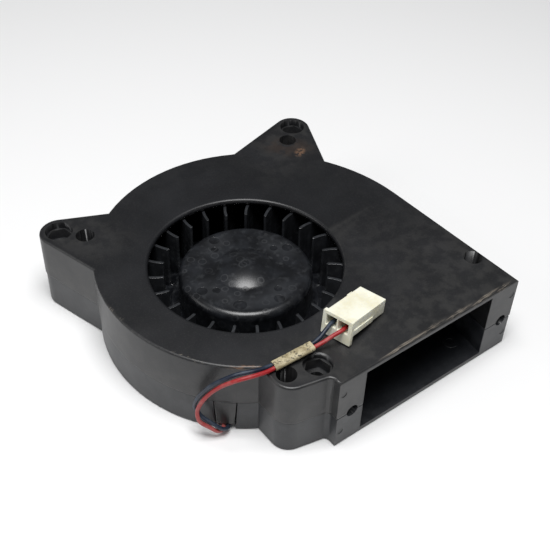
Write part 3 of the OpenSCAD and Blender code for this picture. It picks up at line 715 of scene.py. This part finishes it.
@dataclass
class Studio:
    """Camera, soft lights and a plain pale floor.

    Args:
        azimuth: Side that the camera looks from, in degrees.
        elevation: Its height over the horizon, in degrees.
        roll: Its roll, in degrees.
        distance: Distance from its target, in millimetres.
        target: The point that it looks at, in millimetres.
        lens: Focal length on a sensor 36 mm wide.
    """

    azimuth: float = -38.792
    elevation: float = 42.785
    roll: float = 2.14
    distance: float = 385.26
    target: Point = (25.668, 14.839, 0.0)
    lens: float = 62.21
    key_power: float = 7.0
    key_height: float = 78.0
    key_distance: float = 800.0
    key_size: float = 420.0
    floor_half: float = 3000.0

    def back(self, azimuth: float, elevation: float) -> Vector:
        """The direction from the target to something at that azimuth and elevation, in degrees."""
        a, e = math.radians(azimuth), math.radians(elevation)
        return Vector((math.sin(a) * math.cos(e), -math.cos(a) * math.cos(e), math.sin(e)))

    def camera(self) -> None:
        """Adds the camera and makes it the scene's."""
        back = self.back(self.azimuth, self.elevation)
        a, roll = math.radians(self.azimuth), math.radians(self.roll)
        level = Vector((math.cos(a), math.sin(a), 0))
        rise = back.cross(level)
        right = level * math.cos(roll) + rise * math.sin(roll)
        up = rise * math.cos(roll) - level * math.sin(roll)
        bpy.ops.object.camera_add()
        made = bpy.context.object
        made.name = "blower_camera"
        made.data.lens = self.lens
        made.data.sensor_width = 36.0
        made.data.clip_start = 0.01
        turn = Matrix((right, up, back)).transposed().to_4x4()
        made.matrix_world = Matrix.Translation(metres(self.target) + back * self.distance * MM) @ turn
        bpy.context.scene.camera = made

    def panel(
        self, name: str, azimuth: float, elevation: float, distance: float, size: float, power: float
    ) -> None:
        """Adds a square light panel that faces the blower.

        Args:
            name: The lamp's name.
            azimuth: Its side, in degrees.
            elevation: Its height, in degrees.
            distance: Its distance in millimetres.
            size: Its side length in millimetres.
            power: Its power in watts.
        """
        back = self.back(azimuth, elevation)
        bpy.ops.object.light_add(type="AREA", location=metres(self.target) + back * distance * MM)
        lamp = bpy.context.object
        lamp.name = name
        lamp.rotation_euler = back.to_track_quat("Z", "Y").to_euler()
        lamp.data.size = size * MM
        lamp.data.energy = power

    def floor(self) -> None:
        """Adds the floor, a pale plain sheet just under the base."""
        bpy.ops.mesh.primitive_plane_add(size=2 * self.floor_half * MM, location=(0, 0, -0.0002))
        floor = bpy.context.object
        floor.name = "floor"
        made = bpy.data.materials.new("pale_floor")
        made.use_nodes = True
        shader = made.node_tree.nodes["Principled BSDF"]
        shader.inputs["Base Color"].default_value = colour("#f4f4f4")
        shader.inputs["Roughness"].default_value = 0.7
        floor.data.materials.append(made)

    def surroundings(self) -> None:
        """Even, nearly white light from all round."""
        world = bpy.data.worlds.new("soft_white_room")
        bpy.context.scene.world = world
        world.use_nodes = True
        backdrop = world.node_tree.nodes["Background"]
        backdrop.inputs["Color"].default_value = colour("#f2f4f8")
        backdrop.inputs["Strength"].default_value = 0.12

    def build(self) -> None:
        """Adds everything."""
        self.camera()
        self.panel(
            "key_panel", self.azimuth, self.key_height, self.key_distance, self.key_size, self.key_power
        )
        self.panel("side_panel", -110, 30, 1000, 500, 1.3)
        self.floor()
        self.surroundings()
        bpy.context.scene.view_settings.view_transform = "Standard"
        LOG.info("studio ready")


# ---- Sub-assemblies ----


@dataclass
class Assembly:
    """A group of pieces that ride on one body."""

    body: Body = Body.CASING

    def give(self, obj: bpy.types.Object, finish: Finish) -> None:
        """Puts one finish on all of obj."""
        obj.data.materials.clear()
        obj.data.materials.append(finish.material())

    def keep_node(self, node: str, finish: Finish) -> None:
        """Shows a CAD node as it is, with its finish."""
        self.give(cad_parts[node], finish)
        LOG.info("%s keeps its shape, finish %s", node, finish.name)

    def stand_for(self, obj: bpy.types.Object, finish: Finish, slot: str, *nodes: str) -> None:
        """Lets obj stand for CAD nodes, riding on this assembly's body.

        Args:
            obj: The finished piece.
            finish: Its finish.
            slot: The record's material slot. It is not used.
            nodes: The CAD nodes that it stands for.
        """
        self.give(obj, finish)
        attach(obj, self.body.value)
        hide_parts(*nodes)
        LOG.info("%s stands for %s, %d faces", obj.name, ", ".join(nodes), len(obj.data.polygons))

    def rounding(self, mid: Vector, normals: list[Vector], convex: bool) -> float:
        """The rounding of an edge in millimetres.

        Args:
            mid: The edge's middle in millimetres.
            normals: Its two faces' normals.
            convex: Whether the edge is convex.

        Returns:
            The rounding's width, 0 for none.
        """
        return 0.15

    def rounded_copy(self, node: str, name: str, segments: int = 3, widest: float = 1.0) -> bpy.types.Object:
        """Copies a CAD node, merges its faces and rounds its edges.

        Args:
            node: The CAD node.
            name: The copy's name.
            segments: Faces across each rounding.
            widest: The widest rounding in millimetres.

        Returns:
            The copy, with its edge mask in an attribute, which the casing uses to paint wear and a highlight.
        """
        copy = bpy.data.objects.new(name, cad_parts[node].data.copy())
        bpy.context.scene.collection.objects.link(copy)
        pick(copy)
        bpy.ops.object.mode_set(mode="EDIT")
        bpy.ops.mesh.select_all(action="SELECT")
        bpy.ops.mesh.remove_doubles(threshold=0.002 * MM)
        bpy.ops.object.mode_set(mode="OBJECT")
        self.weigh_edges(copy, widest)
        bevel = copy.modifiers.new("round", "BEVEL")
        bevel.limit_method = "WEIGHT"
        bevel.offset_type = "OFFSET"
        bevel.width = widest * MM
        bevel.segments = segments
        bevel.use_clamp_overlap = False
        bevel.harden_normals = False
        apply_modifiers(copy)
        self.note_wear_and_highlight(copy)
        smooth(copy, 35)
        even_normals(copy)
        return copy

    def weigh_edges(self, obj: bpy.types.Object, widest: float) -> None:
        """Writes each sharp edge's rounding into the mesh.

        Args:
            obj: The piece.
            widest: The widest rounding in millimetres, which the others are shares of.
        """
        bm = bmesh.new()
        bm.from_mesh(obj.data)
        layer = bm.edges.layers.float.new("bevel_weight_edge")
        for edge in bm.edges:
            if len(edge.link_faces) != 2 or edge.calc_face_angle(0) < math.radians(33):
                continue
            mid = (edge.verts[0].co + edge.verts[1].co) / 2 / MM
            normals = [face.normal for face in edge.link_faces]
            edge[layer] = self.rounding(mid, normals, edge.is_convex) / widest
        bm.to_mesh(obj.data)
        bm.free()

    def note_wear_and_highlight(self, obj: bpy.types.Object) -> None:
        """Writes how sharply the surface turns at each vertex, which is where it wears and where the casing's
        painted highlight goes.
        """
        bm = bmesh.new()
        bm.from_mesh(obj.data)
        worn = []
        for vert in bm.verts:
            turn = max((e.calc_face_angle(0) for e in vert.link_edges if e.is_convex), default=0)
            worn.append(min(1.0, max(0.0, (math.degrees(turn) - 12) / 14)))
        bm.free()
        layer = obj.data.attributes.new(WEAR_AND_HIGHLIGHT, "FLOAT", "POINT")
        layer.data.foreach_set("value", worn)


@dataclass
class Casing(Assembly):
    """The two shells and the four screws that hold them together."""

    mount_holes: tuple[tuple[float, float], ...] = ((-46.65, 53.66), (66.64, 57.93), (-10.35, -53.85))
    screw_holes: tuple[tuple[float, float], ...] = ((-39.95, 45.96), (58.94, 51.24), (-21.3, -51.4), (68.7, -46.8))
    top: float = 32.0
    outlet: float = -65.0
    inlet_reach: float = 38.0
    duct: tuple[float, float] = (0.5, 61.5)
    mount_rim: float = 5.3
    screw_rim: float = 3.7
    parting: float = 14.3
    parting_reach: float = 0.9
    outer_round: float = 0.9
    corner_round: float = 0.5
    fine_round: float = 0.2

    def near_hole(self, mid: Vector) -> bool:
        """Whether a point is at the rim of a hole."""
        rims = [(hole, self.mount_rim) for hole in self.mount_holes]
        rims += [(hole, self.screw_rim) for hole in self.screw_holes]
        return any(math.hypot(mid.x - x, mid.y - y) < rim for (x, y), rim in rims)

    def rounding(self, mid: Vector, normals: list[Vector], convex: bool) -> float:
        """Wide roundings outside and fine ones at the outlet; hole rims and the parting line stay sharp."""
        flat = any(abs(n.z) > 0.9 for n in normals)
        level = any(abs(n.z) < 0.3 for n in normals)
        if math.hypot(mid.x, mid.y) < self.inlet_reach or abs(mid.z - self.parting) < self.parting_reach:
            return 0.0
        if self.near_hole(mid):
            return 0.0
        if flat and level and (mid.z > self.top - 0.1 or mid.z < 0.1):
            opening = mid.y < self.outlet + 0.2
            return self.corner_round if opening or mid.z < 0.1 else self.outer_round
        if mid.y < self.outlet + 0.2:
            return self.fine_round if convex and self.duct[0] < mid.x < self.duct[1] else 0.0
        return 0.0

    def build(self) -> None:
        """Rounds and dresses the shells and the screws."""
        cover = self.rounded_copy("upper_casing", "cover_shell")
        self.stand_for(cover, CASING_TOP, "casing_black", "upper_casing")
        base = self.rounded_copy("lower_casing", "base_shell")
        self.stand_for(base, CASING_LOW, "casing_black", "lower_casing")
        self.keep_node("casing_screws", BLACK_OXIDE)


@dataclass
class Impeller(Assembly):
    """The bladed wheel with its hub."""

    body: Body = Body.ROTOR
    blade_round: float = 0.16
    mark_round: float = 0.06

    def rounding(self, mid: Vector, normals: list[Vector], convex: bool) -> float:
        """Thin roundings along the blades' edges and round the hub's marks."""
        reach = math.hypot(mid.x, mid.y)
        if reach < 22.5:
            return self.mark_round if mid.z > 27.9 and convex else 0.0
        if not convex:
            return 0.0
        return self.blade_round if reach > 28 and mid.z > 12 else 0.0

    def build(self) -> None:
        """Rounds and dresses the wheel."""
        wheel = self.rounded_copy("impeller", "bladed_wheel", 2, self.blade_round)
        self.stand_for(wheel, IMPELLER_BLACK, "impeller_black", "impeller")


@dataclass
class Motor(Assembly):
    """What the hub and the base hide: rotor, bearing, stator, windings and board."""

    parts: tuple[tuple[str, Finish], ...] = (
        ("rotor_yoke", PLATED_YOKE),
        ("rotor_magnet", FERRITE),
        ("shaft_bushing", TURNED_BRASS),
        ("shaft", GROUND_SHAFT),
        ("retaining_clip", SPRING_CLIP),
        ("bearing_tube", TURNED_BRASS),
        ("sleeve_bearing", OILED_BRONZE),
        ("oil_seal_washer", NATURAL_NYLON),
        ("thrust_pad", NATURAL_NYLON),
        ("stator_core", LAMINATIONS),
        ("lower_insulator", NATURAL_NYLON),
        ("upper_insulator", NATURAL_NYLON),
        ("stator_windings", ENAMELLED_COPPER),
        ("winding_posts", TURNED_BRASS),
        ("circuit_board", SOLDER_MASK),
        ("hall_sensor", CHIP_EPOXY),
        ("driver_chip", CHIP_EPOXY),
        ("board_capacitors", CERAMIC),
    )

    def build(self) -> None:
        """Dresses each part."""
        for node, finish in self.parts:
            self.keep_node(node, finish)


@dataclass
class Lead(Assembly):
    """Two wires with a marker sleeve and a two-way connector."""

    wire_d: float = 1.45
    steps: int = 6
    red_route: tuple[Point, ...] = (
        (-33, -33.4, 1), (-34.7, -35.2, 1), (-36.5, -37.4, 1.4), (-38.2, -38.4, 2.3),
        (-40.1, -38.4, 3.7), (-41.7, -37.4, 5.4), (-44.3, -35.4, 8.2), (-44.9, -34.6, 10.9),
        (-44.6, -34.2, 13.6), (-44, -35.3, 17.6), (-43, -36.8, 21.4), (-41.6, -38.7, 25.2),
        (-39.9, -41.2, 29), (-37.7, -43.8, 31.9), (-34.9, -45.8, 33.5), (-31, -47.2, 33.8),
        (-27, -47.8, 33.4), (-23.5, -48, 33.3), (-16.1, -48.7, 34.1), (-8.6, -49.4, 34.8),
        (-5, -49.9, 35.5), (-1.5, -50.5, 36.9), (2, -51, 37.8), (6, -49.9, 37.2),
        (10.7, -48.8, 36.4),
    )
    blue_route: tuple[Point, ...] = (
        (-31.9, -34.5, 1), (-33.6, -36.3, 1), (-35.1, -38.2, 1.8), (-37.1, -39.3, 3.2),
        (-38.7, -39.1, 4.7), (-40.3, -37.6, 6.3), (-42.7, -34.2, 8.6), (-43.6, -32.5, 10.9),
        (-44.4, -32.1, 13.6), (-44.4, -33.3, 17.6), (-43.7, -34.9, 21.4), (-42.6, -36.8, 25.2),
        (-41, -39.1, 29), (-38.4, -41.6, 32.1), (-35.2, -43.5, 33.8), (-31, -45.4, 34.2),
        (-27, -46.2, 33.6), (-23.3, -46.4, 33.3), (-15.9, -47.1, 34.1), (-8.5, -47.8, 34.8),
        (-5, -47.7, 35.6), (-2, -47.1, 36.8), (0.9, -46.3, 37.6), (4.8, -45.4, 37),
        (9.6, -44.3, 36.2),
    )
    sleeve_start: Point = (-23.4, -47.2, 33.3)
    sleeve_yaw: float = -5.4
    sleeve_rise: float = 5.8
    sleeve_len: float = 15.0
    sleeve_size: tuple[float, float] = (3.9, 2.2)
    sleeve_wall: float = 0.26
    housing_round: float = 0.3

    def line(self, route: tuple[Point, ...]) -> list[Vector]:
        """A smooth line through a route's points.

        Args:
            route: The points, in millimetres.

        Returns:
            Close points along the line, in metres.
        """
        points = [metres(p) for p in route]
        last = len(points) - 1
        line = []
        for i in range(last):
            a, b, c, d = (points[max(0, min(last, i + k))] for k in (-1, 0, 1, 2))
            for step in range(self.steps):
                t = step / self.steps
                line.append(
                    0.5 * (2 * b + (c - a) * t + (2 * a - 5 * b + 4 * c - d) * t**2 + (3 * b - a - 3 * c + d) * t**3)
                )
        return line + [points[last]]

    def wire(self, name: str, route: tuple[Point, ...], finish: Finish, slot: str, node: str) -> bpy.types.Object:
        """Makes one wire as a round curve that stands for its CAD node.

        Args:
            name: The wire's name.
            route: Its points in millimetres.
            finish: Its insulation.
            slot: The record's material slot. It is not used.
            node: The CAD node that it stands for.

        Returns:
            The wire.
        """
        points = self.line(route)
        curve = bpy.data.curves.new(name, "CURVE")
        curve.dimensions = "3D"
        curve.bevel_depth = self.wire_d / 2 * MM
        curve.bevel_resolution = 5
        curve.use_fill_caps = True
        spline = curve.splines.new("POLY")
        spline.points.add(len(points) - 1)
        for place, point in zip(spline.points, points):
            place.co = (*point, 1)
        spline.use_smooth = True
        obj = bpy.data.objects.new(name, curve)
        bpy.context.scene.collection.objects.link(obj)
        self.give(obj, finish)
        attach(obj, self.body.value)
        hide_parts(node)
        LOG.info("%s laid", name)
        return obj

    def length(self, route: tuple[Point, ...]) -> float:
        """The length of a route in metres."""
        line = self.line(route)
        return sum((b - a).length for a, b in zip(line, line[1:]))

    def sleeve(self) -> bpy.types.Object:
        """Makes the marker sleeve: a thin flattened tube with crinkled walls and ragged ends."""
        width, height = self.sleeve_size
        deselect()
        bpy.ops.mesh.primitive_circle_add(vertices=40, radius=height / 2 * MM)
        tube = bpy.context.object
        tube.name = "marker_tube"
        side = (width - height) / 2 * MM
        for vert in tube.data.vertices:
            vert.co.y += math.copysign(side, vert.co.y) if abs(vert.co.y) > 1e-6 else 0
        rings = 30
        bpy.ops.object.mode_set(mode="EDIT")
        for _ in range(rings):
            bpy.ops.mesh.select_mode(type="EDGE")
            bpy.ops.mesh.extrude_region_move(TRANSFORM_OT_translate={"value": (0, 0, self.sleeve_len / rings * MM)})
        bpy.ops.object.mode_set(mode="OBJECT")
        for vert in tube.data.vertices:
            rough = noise.noise(vert.co / (1.6 * MM))
            swell = 1 + 0.05 * rough
            vert.co.x *= swell
            vert.co.y *= swell
            if vert.co.z < 0.1 * MM or vert.co.z > (self.sleeve_len - 0.1) * MM:
                vert.co.z += 0.25 * MM * noise.noise(vert.co / (0.7 * MM))
        turn = Matrix.Rotation(math.radians(self.sleeve_yaw), 4, "Z") @ Matrix.Rotation(
            math.radians(90 - self.sleeve_rise), 4, "Y"
        )
        tube.matrix_world = Matrix.Translation(metres(self.sleeve_start)) @ turn
        settle(tube)
        wall = tube.modifiers.new("wall", "SOLIDIFY")
        wall.thickness = self.sleeve_wall * MM
        wall.offset = -1
        apply_modifiers(tube)
        pick(tube)
        bpy.ops.object.mode_set(mode="EDIT")
        bpy.ops.mesh.select_all(action="SELECT")
        bpy.ops.mesh.normals_make_consistent(inside=False)
        bpy.ops.object.mode_set(mode="OBJECT")
        smooth(tube, 50)
        self.stand_for(tube, MARKER_VINYL, "sleeve_beige", "marker_sleeve")
        return tube

    def rounding(self, mid: Vector, normals: list[Vector], convex: bool) -> float:
        """Even roundings on the moulded housing."""
        return self.housing_round if convex else 0.0

    def build(self) -> None:
        """Lays the wires, then adds what is on them."""
        red = self.wire("red_lead", self.red_route, RED_VINYL, "wire_red", "red_wire")
        blue = self.wire("blue_lead", self.blue_route, BLUE_VINYL, "wire_blue", "blue_wire")
        tube = self.sleeve()
        housing = self.rounded_copy("connector_housing", "connector_body", 3, self.housing_round)
        self.stand_for(housing, CONNECTOR_NYLON, "connector_cream", "connector_housing")
        self.keep_node("contact_terminals", TINNED_BRASS)
        self.keep_node("lead_tails", RED_VINYL)


def main() -> None:
    """Builds the studio and each sub-assembly."""
    logging.basicConfig(level=logging.INFO, format="%(name)s: %(message)s")
    Studio().build()
    for assembly in (Lead(), Casing(), Impeller(), Motor()):
        assembly.build()
    deselect()


if __name__ == "__main__":
    main()
